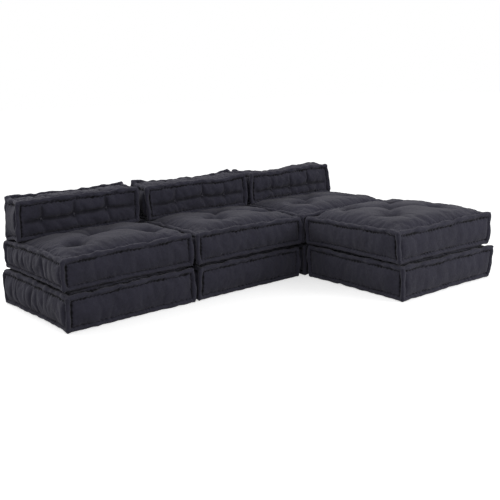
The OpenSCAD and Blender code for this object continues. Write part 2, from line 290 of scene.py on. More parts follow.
def woven_cotton_canvas():
    """Dyed cotton canvas, nearly black with a violet cast: matt, softly mottled, with a plain weave that
    follows the cloth. Painted shade darkens its stitched seams, creases, pleats and ties, and the crowns of
    its rolls are paler, partly from wear and partly as a painted highlight."""
    made, add = new_material("woven cotton canvas")
    colours = bpy.context.scene.sofa_colours
    roll = bpy.context.scene.sofa_sizes.roll
    eased = {"interpolation_type": "SMOOTHSTEP"}
    place = add("TexCoord", {}, "Object")
    cloth = add("UVMap", {}, uv_map="cloth")
    edge, stitch, crease, strength = (
        add("Attribute", {}, "Fac", attribute_name=name)
        for name in ("edge", "stitch", "crease", "drawn")
    )
    # The dye has faded unevenly, in patches of a hand's width and of a fingertip's
    fade = add("TexNoise", {"Vector": place, "Scale": 8, "Detail": 5, "Roughness": 0.62}, "Fac")
    fade = add("MapRange", {0: fade, 1: 0.36, 2: 0.64}, **eased)
    shade = add("Mix", {0: fade, 6: colours.canvas, 7: colours.canvas_faded}, 2, data_type="RGBA")
    patch = add("TexNoise", {"Vector": place, "Scale": 70, "Detail": 4, "Roughness": 0.7}, "Fac")
    patch = add("MapRange", {0: patch, 1: 0.3, 2: 0.7, 3: 0, 4: 0.55}, **eased)
    # Slubs are thick stretches of yarn, about 1 mm by 17 mm, along both threads
    slubs = []
    for stretch in ((60, 900, 1), (900, 60, 1)):
        slub = add("Mapping", {"Vector": cloth, "Scale": stretch})
        slub = add("TexNoise", {"Vector": slub, "Scale": 1, "Detail": 2}, "Fac")
        slubs.append(add("MapRange", {0: slub, 1: 0.35, 2: 0.7, 3: 0, 4: 0.5}, **eased))
    thickest = add("Math", {0: slubs[0], 1: slubs[1]}, operation="MAXIMUM")
    # The crown of a roll is paler, partly from wear and partly as a painted highlight where the roll catches
    # the light
    lip = add("Math", {0: edge, 1: 0.4 * roll}, operation="SUBTRACT")
    lip = add("Math", {0: lip}, operation="ABSOLUTE")
    lip = add("MapRange", {0: lip, 1: 0, 2: 0.4 * roll, 3: 0.13, 4: 0}, **eased)
    # Painted shade: the seam is a thin dark line beside the roll, which scallops at each stitch and is
    # darkest there
    hole = add("Math", {0: stitch, 1: 2 * math.pi}, operation="MULTIPLY")
    hole = add("Math", {0: hole}, operation="COSINE")
    seam = add("Math", {0: hole, 1: 1.6 * MM, 2: 1.05 * roll}, operation="MULTIPLY_ADD")
    seam = add("Math", {0: edge, 1: seam}, operation="SUBTRACT")
    seam = add("Math", {0: seam}, operation="ABSOLUTE")
    # The drawn attribute sets how wide and how dark the painted seam shade is
    wide = add("Math", {0: strength, 1: 0.5}, operation="MAXIMUM")
    seam = add("Math", {0: seam, 1: wide}, operation="DIVIDE")
    seam = add("MapRange", {0: seam, 1: 0.8 * MM, 2: 4.6 * MM, 3: 1, 4: 0}, **eased)
    dark = add("Math", {0: strength, 1: 1.15}, operation="MINIMUM")
    seam = add("Math", {0: seam, 1: dark}, operation="MULTIPLY")
    hole = add("MapRange", {0: hole, 1: -1, 2: 1, 3: 0.72, 4: 0.86}, **eased)
    seam = add("Math", {0: seam, 1: hole}, operation="MULTIPLY")
    # Painted shade in creases, pleats and dimples, from the crease attribute
    crease = add("Math", {0: crease, 1: 0.6}, operation="MULTIPLY")
    seam = add("Math", {0: seam, 1: crease}, operation="MAXIMUM")
    tints = ((patch, colours.mottle), (thickest, colours.slub), (lip, colours.worn), (seam, colours.seam))
    for share, tint in tints:
        shade = add("Mix", {0: share, 6: shade, 7: tint}, 2, data_type="RGBA")
    # Threads of a plain weave both ways, 1.3 mm apart, which is coarser than the real ones
    woven = {"Vector": cloth, "Scale": bands_apart(1.3)}
    threads = [add("TexWave", woven, "Fac", bands_direction=way) for way in ("X", "Y")]
    weave = add("Math", {0: threads[0], 1: threads[1]}, operation="MAXIMUM")
    weave = add("Math", {0: weave, 1: 0.25}, operation="MULTIPLY")
    thickness = add("Math", {0: slubs[0], 1: slubs[1]}, operation="ADD")
    height = add("Math", {0: weave, 1: thickness}, operation="ADD")
    bump = add("Bump", {"Height": height, "Strength": 0.7, "Distance": 0.4 * MM})
    # Washed canvas stays a little crumpled, in waves of some 20 mm
    crumple = {"Vector": place, "Scale": 45, "Detail": 3, "Roughness": 0.55}
    crumple = add("TexNoise", crumple, "Fac")
    bump = add("Bump", {"Height": crumple, "Normal": bump, "Strength": 0.7, "Distance": 4 * MM})
    nap = {"Sheen Weight": 0.12, "Sheen Roughness": 0.6, "Sheen Tint": (0.98, 0.96, 1, 1)}
    matt = {"Roughness": 0.92, "Specular IOR Level": 0.15}
    return finished(made, {"Base Color": shade, "Normal": bump, **matt, **nap})


def raw_cotton_fibre():
    """Raw cotton wadding: cream, matt and clumped, with flecks of seed husk."""
    made, add = new_material("raw cotton fibre")
    colours = bpy.context.scene.sofa_colours
    place = add("TexCoord", {}, "Object")
    clump = add("TexNoise", {"Vector": place, "Scale": 26, "Detail": 6, "Roughness": 0.7}, "Fac")
    # Painted shade in the hollows and painted highlight on the clumps, from the same noise as the bump
    shade = add("Mix", {0: clump, 6: colours.fibre, 7: colours.fibre_pale}, 2, data_type="RGBA")
    fleck = add("TexVoronoi", {"Vector": place, "Scale": 90}, "Distance")
    husk = add("MapRange", {0: fleck, 1: 0.03, 2: 0.09, 3: 0.7, 4: 0}, interpolation_type="SMOOTHSTEP")
    shade = add("Mix", {0: husk, 6: shade, 7: colours.husk}, 2, data_type="RGBA")
    bump = add("Bump", {"Height": clump, "Strength": 0.8, "Distance": 6 * MM})
    return finished(made, {"Base Color": shade, "Normal": bump, "Roughness": 1})


def waxed_linen_twine():
    """Waxed linen twine: two strands that wind round each other every 2.2 mm, with a dull shine."""
    made, add = new_material("waxed linen twine")
    colours = bpy.context.scene.sofa_colours
    place = add("TexCoord", {}, "Object")
    wound = {"Vector": place, "Scale": bands_apart(2.2), "Distortion": 1.5}
    strand = add("TexWave", wound, "Fac", bands_direction="DIAGONAL")
    # Painted shade between the strands and painted highlight on them, from the same wave as the bump
    shade = add("Mix", {0: strand, 6: colours.twine, 7: colours.twine_pale}, 2, data_type="RGBA")
    bump = add("Bump", {"Height": strand, "Strength": 0.8, "Distance": 0.4 * MM})
    return finished(made, {"Base Color": shade, "Normal": bump, "Roughness": 0.55})


def finish_by_name(make):
    """The material that make gives, made once and then shared."""
    return bpy.data.materials.get(make.__name__.replace("_", " ")) or make()


def dress(piece, make):
    """Gives a piece its material."""
    piece.data.materials.clear()
    piece.data.materials.append(finish_by_name(make))


def new_piece(name, data):
    """An object with this mesh, lamp or camera, in the scene."""
    made = bpy.data.objects.new(name, data)
    bpy.context.scene.collection.objects.link(made)
    return made


def mesh_of(bm, name, smooth=True):
    """The mesh that a bmesh holds."""
    mesh = bpy.data.meshes.new(name)
    bm.to_mesh(mesh)
    bm.free()
    mesh.polygons.foreach_set("use_smooth", np.full(len(mesh.polygons), smooth))
    return mesh


def vectors(items, name):
    """One vector for each point or side of a mesh."""
    values = np.empty(len(items) * 3)
    items.foreach_get(name, values)
    return values.reshape(-1, 3)


def points(mesh):
    return vectors(mesh.vertices, "co")


def move(mesh, co):
    """Puts each point of a mesh in its new place."""
    mesh.vertices.foreach_set("co", np.ascontiguousarray(co).ravel())
    mesh.update()


def keep(mesh, name, values):
    """Keeps a number or a vector for each point of a mesh."""
    kind = "FLOAT" if values.ndim == 1 else "FLOAT_VECTOR"
    layer = mesh.attributes.new(name, kind, "POINT")
    layer.data.foreach_set("value" if kind == "FLOAT" else "vector", np.ascontiguousarray(values).ravel())


def lines_across(span, roll, step, marks):
    """Mesh lines across a span: close over the two rolls, their seams and the marks, even between them."""
    near = [share * roll for share in (0, 0.2, 0.4, 0.6, 0.8, 0.92, 1, 1.08, 1.3, 1.65)]
    inner = span - 2 * near[-1]
    count = max(2, round(inner / step))
    even = [near[-1] + inner * k / count for k in range(1, count)]
    close = [mark + side * 5 * MM for mark in marks for side in (-1, 0, 1)]
    middle = [x for x in even if all(abs(x - mark) > 9 * MM for mark in marks)]
    return np.array(near + sorted(middle + close) + [span - d for d in reversed(near)])


def cloth_box(name, lines):
    """A closed box of quads with mesh lines at the given places, and a flat UV in metres on each side."""
    bm = bmesh.new()
    bmesh.ops.create_cube(bm, size=1)
    for axis in range(3):
        along = [e for e in bm.edges if abs(e.verts[0].co[axis] - e.verts[1].co[axis]) > 0.5]
        bmesh.ops.subdivide_edges(bm, edges=along, cuts=len(lines[axis]) - 2, use_grid_fill=True)
    mesh = mesh_of(bm, name)
    co = points(mesh)
    for axis in range(3):
        index = np.rint((co[:, axis] + 0.5) * (len(lines[axis]) - 1)).astype(int)
        co[:, axis] = lines[axis][index]
    move(mesh, co)
    side = np.repeat(np.abs(vectors(mesh.polygons, "normal")).argmax(axis=1), 4)
    index = np.empty(len(mesh.loops), np.int32)
    mesh.loops.foreach_get("vertex_index", index)
    corner = co[index]
    across = np.where(side == 0, corner[:, 1], corner[:, 0])
    up = np.where(side == 2, corner[:, 1], corner[:, 2])
    layer = mesh.uv_layers.new(name="cloth")
    layer.data.foreach_set("uv", np.stack([across, up], axis=1).ravel())
    keep(mesh, "flat", co)
    return mesh


def fullness(t, near=0.36, far=None):
    """How full a face is at a fraction t across it: nothing at the seams, full a little way in from each."""
    return 1 - (1 - np.clip(np.minimum(t / near, (1 - t) / (far or near)), 0, 1)) ** 3.2


def ease(a, b, t):
    """A smooth rise from 0 at a to 1 at b."""
    s = np.clip((t - a) / (b - a), 0, 1)
    return s * s * (3 - 2 * s)


def eased_through(t, places, values):
    """A smooth curve through the values at their places."""
    curve = np.full_like(t, values[0], dtype=float)
    for k in range(len(places) - 1):
        curve += (values[k + 1] - values[k]) * ease(places[k], places[k + 1], t)
    return curve


def bell(distance, reach):
    """1 at no distance, and nearly nothing at twice the reach."""
    return np.exp(-((distance / reach) ** 2))


def above(z, level, soft):
    """z, kept above a level, with a rounded start."""
    past = (z - level) / soft
    return level + soft * np.logaddexp(0, past) - soft * math.log(2) * np.exp(-np.abs(past))


def below(z, level, soft):
    """z, kept below a level, with a rounded start."""
    return -above(-z, -level, soft)


def wander(s, random, reach):
    """A smooth random walk along s, between about -1 and 1, which changes over the reach."""
    waves = [np.sin(s / (reach * share) + random.uniform(0, 2 * math.pi)) for share in (1, 0.61, 0.37)]
    return (waves[0] + 0.7 * waves[1] + 0.5 * waves[2]) / 1.6


def segment_distance(a, b, first, second):
    """Distance of places a, b from the straight line between two ties."""
    run = (second[0] - first[0], second[1] - first[1])
    t = np.clip(((a - first[0]) * run[0] + (b - first[1]) * run[1]) / (run[0] ** 2 + run[1] ** 2), 0, 1)
    return np.hypot(a - first[0] - t * run[0], b - first[1] - t * run[1])


def half_way(first, second):
    """The middle of the gap between two stacks, which keeps their cushions apart when one is lifted."""
    kinds = ("base", "seat", "back")
    left = [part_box(f"{first}_{kind}_cover")[1].x for kind in kinds]
    right = [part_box(f"{second}_{kind}_cover")[0].x for kind in kinds]
    return (max(left) + min(right)) / 2


def other_axes(axis):
    """The two axes along a side."""
    return [k for k in range(3) if k != axis]


class Places:
    """Where each point of a cushion's plain box lies: on which side, how far from its edge and along it."""

    def __init__(self, flat, size):
        near = np.minimum(flat, size - flat)
        order = np.argsort(near, axis=1)
        rows = np.arange(len(flat))
        high = flat > size / 2
        self.side = order[:, 0]
        self.high = high[rows, self.side]
        self.upright = order[:, 2] == 2
        self.edge = near[rows, order[:, 1]]
        self.along = flat[rows, order[:, 2]]
        self.near = near
        self.highs, self.upper = high, high[:, 2]
        # The same number for both sides of an edge
        bits = high @ np.array([1, 2, 4])
        self.number = order[:, 2] * 8 + (bits & ~(1 << order[:, 2]))


class Cushion:
    """One cushion: where it lies, its size, its ties, and the swell of its faces."""

    def __init__(self, name, number):
        self.sizes = sizes = bpy.context.scene.sofa_sizes
        self.name = name
        place, kind = name.split("_")
        self.gathered = GATHERED.get(place, 1)
        self.faint = FAINT.get(place, 0)
        self.kind = "ottoman" if name == "ottoman_seat" else kind
        self.random = np.random.default_rng(FIRST_SEED + number)
        self.roll = sizes.roll
        low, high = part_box(f"{name}_cover")
        # The cover's box is measured where its edges bow in, and over its swelling faces
        width = high.x - low.x + 2 * sizes.tip
        depth = sizes.back_t if kind == "back" else high.y - low.y + 2 * sizes.tip
        self.floor, self.roof = low.z, high.z
        if kind == "back":
            self.roof = low.z + sizes.back_h
        elif kind == "seat":
            rest_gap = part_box("middle_seat_cover")[0].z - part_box("middle_base_cover")[1].z
            self.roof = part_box("middle_back_cover")[0].z - rest_gap
        self.walls = self.walls_between(place)
        # A backrest squashes its lower rolls, the rolls of the mattresses stay apart
        lift = {"base": 0, "seat": sizes.parting, "back": -SQUASH}[kind]
        sink = sizes.parting if kind == "base" else 0
        self.size = np.array([width, depth, self.roof - low.z - lift - sink])
        middle = (low + high) / 2
        self.corner = np.array([middle.x - width / 2, middle.y - depth / 2, low.z + lift])
        self.face_axis = 1 if kind == "back" else 2
        self.up = 2 if kind == "back" else 1
        self.foot = self.size[1] - sizes.back_t
        columns, rows = SEWN.get(name, EVEN)
        if kind == "back":
            spots = [(column, rows[0]) for column in columns]
        else:
            if self.kind == "seat":
                # The third row is in the middle of the strip that the backrest covers
                foot_share = (self.foot - self.roll) / (self.size[1] - 2 * self.roll)
                rows = (*rows, (foot_share + 0.95) / 2)
            spots = [(columns[1], rows[1])]
            spots += [(column, row) for row in (rows[0], rows[2]) for column in (columns[0], columns[2])]
        self.ties = [(self.face_at(0, u), self.face_at(self.up, v)) for u, v in spots]
        self.crease = self.ties[0][1]

    def walls_between(self, place):
        """How far left and right the cushion may swell: half way to its neighbours in the row."""
        if place not in ROW:
            return -FAR, FAR
        k = ROW.index(place)
        left = half_way(ROW[k - 1], place) + MM if k > 0 else -FAR
        right = half_way(place, ROW[k + 1]) - MM if place != ROW[-1] else FAR
        return left, right

    def face_at(self, axis, t):
        """The place at a fraction of a face between its rolls."""
        return self.roll + t * (self.size[axis] - 2 * self.roll)

    def lines(self):
        """Mesh lines along the three axes."""
        made = []
        for axis in range(3):
            marks = []
            if axis == 0:
                marks = [tie[0] for tie in self.ties]
            elif axis == self.up:
                marks = [tie[1] for tie in self.ties]
            apart = []
            for mark in sorted(marks):
                if not apart or mark - apart[-1] > 19 * MM:
                    apart.append(mark)
            made.append(lines_across(self.size[axis], self.roll, self.sizes.mesh_step, apart))
        return made

    def tie_distance(self, a, b):
        """Distance of the nearest tie from places a, b on a tied face."""
        return np.min([np.hypot(a - tie[0], b - tie[1]) for tie in self.ties], axis=0)

    def valley_distance(self, a, b):
        """Distance of the nearest straight line from the middle tie to another."""
        return np.min([segment_distance(a, b, self.ties[0], tie) for tie in self.ties[1:]], axis=0)

    def folds(self, a, b, reach):
        """How deep in a fold of a backrest each place lies. Folds run up from the ties, and veer below."""
        veer = 0.3 * np.maximum(self.crease - b, 0)
        marks = zip(FOLDS[self.name], sorted(tie[0] for tie in self.ties))
        return np.max([strength * bell(a - spot - veer, reach) for strength, spot in marks], axis=0)

    def seam_level(self, axis):
        """Depth of the seams of a side below its rolls."""
        return self.sizes.flat_seam if axis == 2 and self.kind != "back" else self.sizes.deep_seam

    def hides(self, axis, high):
        """Whether a side rests on something or carries something."""
        return axis == 2 and (not high or self.kind == "base")

    def swell(self, axis, high, a, b):
        """Height above the seams on one side, at distances a and b along its two axes."""
        sizes = self.sizes
        u, v = (
            np.clip((place - self.roll) / (self.size[other] - 2 * self.roll), 0, 1)
            for place, other in zip((a, b), other_axes(axis))
        )
        if self.hides(axis, high):
            rest = self.seam_level(axis) + sizes.parting + 2 * MM
            pit = 14 * MM * bell(self.tie_distance(a, b), 34 * MM) if self.kind != "back" else 0
            return rest * fullness(u, 0.06) * fullness(v, 0.06 if self.kind != "back" else 0.1) - pit
        if axis != self.face_axis and axis != 2:
            extra = FULLER.get(f"{self.name} {SIDES[axis][high]}", 0) * MM
            quick = 0.05 if axis == self.faint else 0.2
            return (sizes.band_swell + extra) * np.sqrt(np.sin(np.pi * v)) * fullness(u, quick)
        if axis != self.face_axis:
            scallop = 0.8 * self.folds(a, np.full_like(a, self.size[2]), 18 * MM)
            return sizes.top_swell * fullness(u, 0.1) * fullness(v, 0.25) * (1 - scallop)
        near = self.tie_distance(a, b)
        if self.kind == "back":
            line = np.abs(b - self.crease)
            left = (1 - 0.75 * bell(line, CREASE_REACH)) * (1 - 0.3 * bell(line, 34 * MM))
            sharp = 0.2 + 0.38 * ease(-20 * MM, 20 * MM, b - self.crease)
            left = left * (1 - sharp * self.folds(a, b, FOLD_REACH))
            left = left * (1 - 0.4 * sharp * self.folds(a, b, 30 * MM))
            left = left * (1 - 0.9 * bell(near, 26 * MM))
            return sizes.back_crown * fullness(u) * fullness(v) * left
        valley = self.valley_distance(a, b)
        tied = 1.4 * DRAWN.get(self.name, 1)
        dimple = (1 - tied * bell(near, TIE_REACH)) * (1 - 0.3 * tied * bell(valley, VALLEY_REACH))
        crown = sizes.seat_crown + DOMED.get(self.name, 0) * MM
        crown = crown * fullness(u, 0.18, 0.08) * (0.8 + 0.2 * np.sin(np.pi * u))
        if self.kind == "seat":
            # The seat sinks a little towards the backrest, which presses it flat
            sunk = 1 - 0.65 * ease(0.45 * self.foot, self.foot, b)
            sunk = sunk * (1 - ease(self.foot - 24 * MM, self.foot + 2 * MM, b))
            return crown * fullness(np.minimum(v, 0.5), 0.18) * sunk * dimple
        return crown * fullness(v, 0.18, 0.08) * (0.8 + 0.2 * np.sin(np.pi * v)) * dimple

    def sewn(self, co):
        """Points of the plain box, moved onto the sewn cushion with its rolls and seams."""
        sizes = self.sizes
        r = self.roll / 2
        corner = r - r / math.sqrt(2)
        low, high = co, self.size - co
        near = np.minimum(low, high)
        out = co.copy()
        reach = self.roll - 0.4 * MM
        fall = r - math.sqrt(r * r - (reach - r) ** 2)
        for axis in range(3):
            a, b = other_axes(axis)
            e = np.minimum(near[:, a], near[:, b])
            level = self.seam_level(axis)
            across = corner + (reach - corner) * np.clip(e / self.roll, 0, 1)
            arc = r - np.sqrt(np.maximum(r * r - (across - r) ** 2, 0))
            arc = np.where(across > r, arc * level / fall, arc)
            groove = sizes.groove if level == sizes.deep_seam else 0.3 * sizes.groove
            seam = groove * bell(e - self.roll, 0.16 * self.roll)
            upright = (near[:, 1 - axis] < near[:, 2]) if axis < 2 else np.zeros(len(co), bool)
            seam = np.where(upright, 0 if axis == self.faint else 1.6, 1) * seam
            for on, sign in ((low[:, axis] < ON_SIDE, 1), (high[:, axis] < ON_SIDE, -1)):
                face = level - self.swell(axis, sign < 0, co[on][:, a], co[on][:, b])
                inset = np.where(e[on] <= self.roll, arc[on], face) + seam[on]
                out[on, axis] = (0 if sign > 0 else self.size[axis]) + sign * inset
            inside = (low[:, axis] >= ON_SIDE) & (high[:, axis] >= ON_SIDE)
            shift = corner * (1 - np.clip(near[:, axis] / self.roll, 0, 1))
            out[inside, axis] += (np.where(low[:, axis] < high[:, axis], 1, -1) * shift)[inside]
        for axis, other in ((0, 1), (1, 0)):
            t = co[:, other] / self.size[other]
            out[:, axis] -= sizes.edge_bow * 4 * t * (1 - t) * (co[:, axis] / self.size[axis] - 0.5) * 2
        if self.kind == "back":
            lifts = CREASE_LIFTS[self.name]
            columns = [tie[0] for tie in self.ties]
            lift = eased_through(co[:, 0], (0, *columns, self.size[0]), (lifts[0], *lifts, lifts[2])) * MM
            sag = 4 * MM * (1 - self.folds(co[:, 0], co[:, 2], 34 * MM))
            out[:, 2] += (lift - sag) * bell(co[:, 2] - self.crease, 45 * MM)
        return out

    def held(self, co):
        """How firmly each point of the plain box is held: on the seams, at the ties and along a crease."""
        near = np.minimum(co, self.size - co)
        weight = np.zeros(len(co))
        for axis in range(3):
            a, b = other_axes(axis)
            e = np.minimum(near[:, a], near[:, b])
            side = near[:, axis] < ON_SIDE
            weight[side & (np.abs(e - self.roll) < ON_SEAM)] = 1
            if axis == self.faint:
                upright = side & (np.abs(near[:, 1 - axis] - self.roll) < ON_SEAM)
                weight[upright & (near[:, 2] > self.roll + ON_SEAM)] = 0.4
        face = near[:, self.face_axis] < ON_SIDE
        if self.kind == "back":
            inner = near[:, 0] > self.roll
            fold = np.min([np.abs(co[:, 0] - tie[0]) for tie in self.ties], axis=0) < MM
            weight[face & inner & (np.abs(co[:, 2] - self.crease) < MM)] = 1
            upper = face & fold & (near[:, 2] > self.roll) & (co[:, 2] > self.crease)
            weight[upper] = np.maximum(weight[upper], 0.5)
            top = (co[:, 2] > self.size[2] - ON_SIDE) & fold & (near[:, 1] > self.roll)
            weight[top] = np.maximum(weight[top], 0.8)
        weight[face & (self.tie_distance(co[:, 0], co[:, self.up]) < 6 * MM)] = 1
        return weight

    def looseness(self, co):
        """How much of the cloth's movement each point keeps: less on a roll or a band than on a face."""
        places = Places(co, self.size)
        share = 0.7 + 0.3 * ease(self.roll, 1.8 * self.roll, places.edge)
        if self.kind == "back":
            band = np.where(places.side == 1, 0.7, 0.4)
        else:
            band = np.where(places.side == 2, 0.5, 0.4 * max(self.gathered, 0.5))
        return share * band

    def uneven(self, co, size, reach):
        """Small handmade differences: a smooth push of up to size, which changes over the reach."""
        start = Vector(self.random.uniform(-50, 50, 3))
        return np.array([noise.noise_vector(Vector(p) / reach + start) for p in co]) * size

    def shaped(self, co, flat):
        """Points moved by the corners and rims that lie off their place, and by the ears of the corners."""
        t = flat / self.size
        co = co.copy()
        for corner, shift in OFF_CORNERS.get(self.name, {}).items():
            weight = np.ones((len(co), 3))
            for axis, word in enumerate(("right", "rear", "top")):
                share = t[:, axis] if word in corner else 1 - t[:, axis]
                weight[:, :2] *= share[:, None]
                weight[:, 2] *= share if axis == 2 else share**2
            co += weight * np.array(shift) * MM
        if self.kind == "back":
            # A rim that stands up is the roll alone, one that sinks takes the top with it
            for rim, share in (("front", 1 - t[:, 1]), ("rear", t[:, 1])):
                rise = eased_through(t[:, 0], RIM_PLACES, RIMS[self.name][rim]) * MM
                share = np.where(rise > 0, ease(0.78, 0.9, share), share)
                co[:, 2] += rise * share * ease(0.3, 1, t[:, 2])
        near = np.minimum(flat, self.size - flat)
        pull = bell(near[:, 0], 42 * MM) * bell(near[:, 1], 42 * MM) * (0.8 + 0.9 * np.sin(np.pi * t[:, 2]))
        away = np.sign(flat - self.size / 2) * (1, 1, 0.3)
        return co + self.sizes.ear * pull[:, None] * away

    def placed(self, co):
        """Points in the frame, turned as the cushion lies."""
        angle = math.radians(TURNS.get(self.name, 0))
        middle = self.size / 2
        x, y = co[:, 0] - middle[0], co[:, 1] - middle[1]
        cos, sin = math.cos(angle), math.sin(angle)
        turned = np.stack([x * cos - y * sin, x * sin + y * cos], axis=1)
        return np.column_stack([turned + middle[:2], co[:, 2]]) + self.corner

    def hanging(self, flat):
        """How far the corners of the underside hang below the level at which the cushion lies."""
        t = flat / self.size
        low = np.zeros(len(flat))
        for corner, shift in OFF_CORNERS.get(self.name, {}).items():
            if "bottom" in corner:
                across = t[:, 0] if "right" in corner else 1 - t[:, 0]
                back = t[:, 1] if "rear" in corner else 1 - t[:, 1]
                low += shift[2] * MM * (across * back) ** 2
        return low

    def pressed(self, co, flat):
        """Points kept off the floor and off the cushions around, flat where they touch them."""
        x = below(above(co[:, 0], self.walls[0], 2 * MM), self.walls[1], 2 * MM)
        z = above(co[:, 2], self.floor + self.hanging(flat), 3 * MM)
        if self.kind == "base":
            z = below(z, self.roof, 3 * MM)
        if self.kind == "seat":
            cover = ease(self.foot - 6 * MM, self.foot + 4 * MM, flat[:, 1])
            z = np.where(cover > 0, below(z, self.roof + 40 * MM * (1 - cover), 3 * MM), z)
        return np.column_stack([x, co[:, 1], z])

    def stitches(self, places):
        """Number of stitches along its edge to each point, from a start that differs from edge to edge."""
        sway = 11 * MM * wander(places.along + places.number, self.random, 34 * MM)
        walk = places.along + sway + 0.4 * places.edge
        return walk / self.sizes.stitch + self.random.uniform(0, 1, 24)[places.number]

    def lip_dents(self, places, stitches):
        """Depth that each stitch pulls the roll in, and the uneven thickness of the roll."""
        pit = (0.5 + 0.5 * np.cos(2 * math.pi * stitches)) ** 2
        pit = pit * (0.8 + 0.6 * wander(places.along + 3 * places.number, self.random, 30 * MM))
        pit = pit * np.where(places.upright, 0.3, 1)
        edge, roll = places.edge, self.roll
        over = ease(0.15 * roll, 0.9 * roll, edge) * (1 - ease(1.05 * roll, 1.7 * roll, edge))
        thickness = 3 * MM * wander(places.along + 5 * places.number, self.random, 26 * MM)
        thickness *= np.where((places.near[:, 2] < roll) & ~places.upper, 0.3, 1)
        return self.sizes.dent * pit * over + thickness * (1 - ease(0.8 * roll, 1.2 * roll, edge))

    def gathers(self, places):
        """Depth of the slanted gathers that run from a seam into its side."""
        from_seam = places.edge - self.roll
        depth = np.zeros(len(from_seam))
        for reach, slant in ((21 * MM, 0.35), (14 * MM, -0.2)):
            walk = places.along + places.number + slant * from_seam
            depth += np.clip(1 - np.abs(wander(walk, self.random, reach)), 0, 1) ** 6
        run = np.where(places.side == 2, 105 * MM, 55 * MM)
        share = np.where(places.side == 2, 1.3, 0.75 * self.gathered)
        fade = (1 - np.clip(from_seam / run, 0, 1)) ** 1.3 * share
        if self.kind == "back":
            fade = np.where((places.side == 2) & places.high, 3, fade)
        return self.sizes.gather * depth * fade * ease(0.85 * self.roll, 1.25 * self.roll, places.edge)

    def pleats(self, flat, places):
        """Depth of the upright pleats of the side bands, and how deep in one each point lies, from 0 to 1,
        which sets the painted shade in the pleats.
        """
        depth, marks = np.zeros(len(flat)), np.zeros(len(flat))
        # The least and the most of a pleat's start, sway, depth and level
        least, most = (0, 5 * MM, 0.3, 0.2), (6, 12 * MM, 1, 0.8)
        for axis in (0, 1) if self.face_axis == 2 else (0,):
            for high, word in enumerate(SIDES[axis]):
                strength = PLEATED.get(f"{self.name} {word}", PLEATED_BY_SIDE[word] * self.gathered)
                on = (places.side == axis) & (places.high == bool(high))
                s, t = flat[on, 1 - axis], flat[on, 2] / self.size[2]
                count = round(self.size[1 - axis] / (70 * MM))
                for k in range(count):
                    middle = (k + 0.5 + self.random.uniform(-0.28, 0.28)) * self.size[1 - axis] / count
                    start, sway, share, level = self.random.uniform(least, most)
                    away = s - middle - sway * np.sin(4.4 * t + start)
                    # A pleat is deepest at one height, and the front end of a left side is smooth
                    share = strength * share * (0.25 + 0.75 * bell(t - level, 0.36))
                    if word == "left":
                        share = share * ease(0.06, 0.34, s / self.size[1 - axis])
                    fold = bell(away, 6.5 * MM) + 0.25 * bell(away, 20 * MM)
                    depth[on] += share * self.sizes.pleat * fold
                    # Painted shade along the fold of each pleat
                    marks[on] += 0.7 * share * bell(away, 5 * MM)
        inner = ease(self.roll, 1.5 * self.roll, places.near[:, 2])
        return depth * inner, marks * inner

    def creases(self, flat, places):
        """How deep in a sharp crease or at a tie each point lies, from 0 to 1. It also sets the painted shade
        in creases, folds and dimples.
        """
        on = places.side == self.face_axis
        # Painted shade darkens a wide patch round each tie of a mattress and a narrow one round each tie of a
        # backrest
        reach = (20 if self.kind == "back" else 36) * MM
        marks = bell(self.tie_distance(flat[:, 0], flat[:, self.up]), reach)
        if self.kind == "back":
            line = np.abs(flat[:, 2] - self.crease)
            fold = self.folds(flat[:, 0], flat[:, 2], 8 * MM)
            sharp = 0.3 + 0.5 * ease(-20 * MM, 20 * MM, flat[:, 2] - self.crease)
            marks = np.maximum(marks, np.maximum(bell(line, 9 * MM), sharp * fold))
            # Painted shade in the folds over a backrest's top
            over = 0.55 * self.folds(flat[:, 0], np.full(len(flat), self.size[2]), 9 * MM)
            marks, on = np.where((places.side == 2) & places.high, over, marks), on | (places.side == 2)
        return np.where(on, marks * ease(self.roll, 2 * self.roll, places.edge), 0)

    def drawn_in(self, flat, places, creases):
        """Depth that the ties draw in a filled face: a sharp crease, or dimples with valleys between them."""
        if self.kind == "back":
            return 5 * MM * creases
        a, b = flat[:, 0], flat[:, 1]
        valley = self.valley_distance(a, b)
        depth = 15 * MM * DRAWN.get(self.name, 1) * bell(self.tie_distance(a, b), 44 * MM)
        depth = depth + 3 * MM * bell(valley, 22 * MM)
        return np.where(self.open_top(places), depth * ease(self.roll, 3 * self.roll, places.edge), 0)

    def open_top(self, places):
        """Which points lie on a top that carries nothing, or only a backrest."""
        return (places.side == 2) & places.upper & (self.kind != "base")

    def drawn(self, places):
        """How strongly the painted seam shade shows at each point: it changes along an edge, and hardly shows
        on the top of a mattress or upright on its plainer sides."""
        strength = 0.85 + 0.35 * wander(places.along + 7 * places.number, self.random, 35 * MM)
        strength = np.where(places.upper, 1.15, 0.75) * strength
        strength = np.where((places.side == self.faint) & places.upright, 0.1, strength)
        strong = (places.side == 1 - self.faint) & places.upright & ~places.highs[:, self.faint]
        strength = np.where(strong, 1.7, strength)
        if self.kind != "back":
            # The faces that lie on each other meet in shade, which is painted wide and dark on them
            strength = np.where(places.side == 2, 2.4, strength)
        return np.where(self.open_top(places), 0.9 if self.kind == "back" else 0.15, strength)

    def wrinkles(self, flat, places):
        """Depth of the wrinkles that run out from the ties."""
        depth = np.zeros(len(flat))
        for tie in self.ties:
            across, up = flat[:, 0] - tie[0], flat[:, self.up] - tie[1]
            near, turn = np.hypot(across, up), np.arctan2(up, across)
            starts = self.random.uniform(0, 6, 2)
            rays = (np.cos(7 * turn + starts[0] + near / (60 * MM)) + np.cos(11 * turn + starts[1])) / 2
            start, end = ease(9 * MM, 28 * MM, near), 1 - ease(48 * MM, 88 * MM, near)
            depth += np.clip(rays, 0, 1) ** 2 * start * end
        return np.where(places.side == self.face_axis, self.sizes.wrinkle * depth, 0)


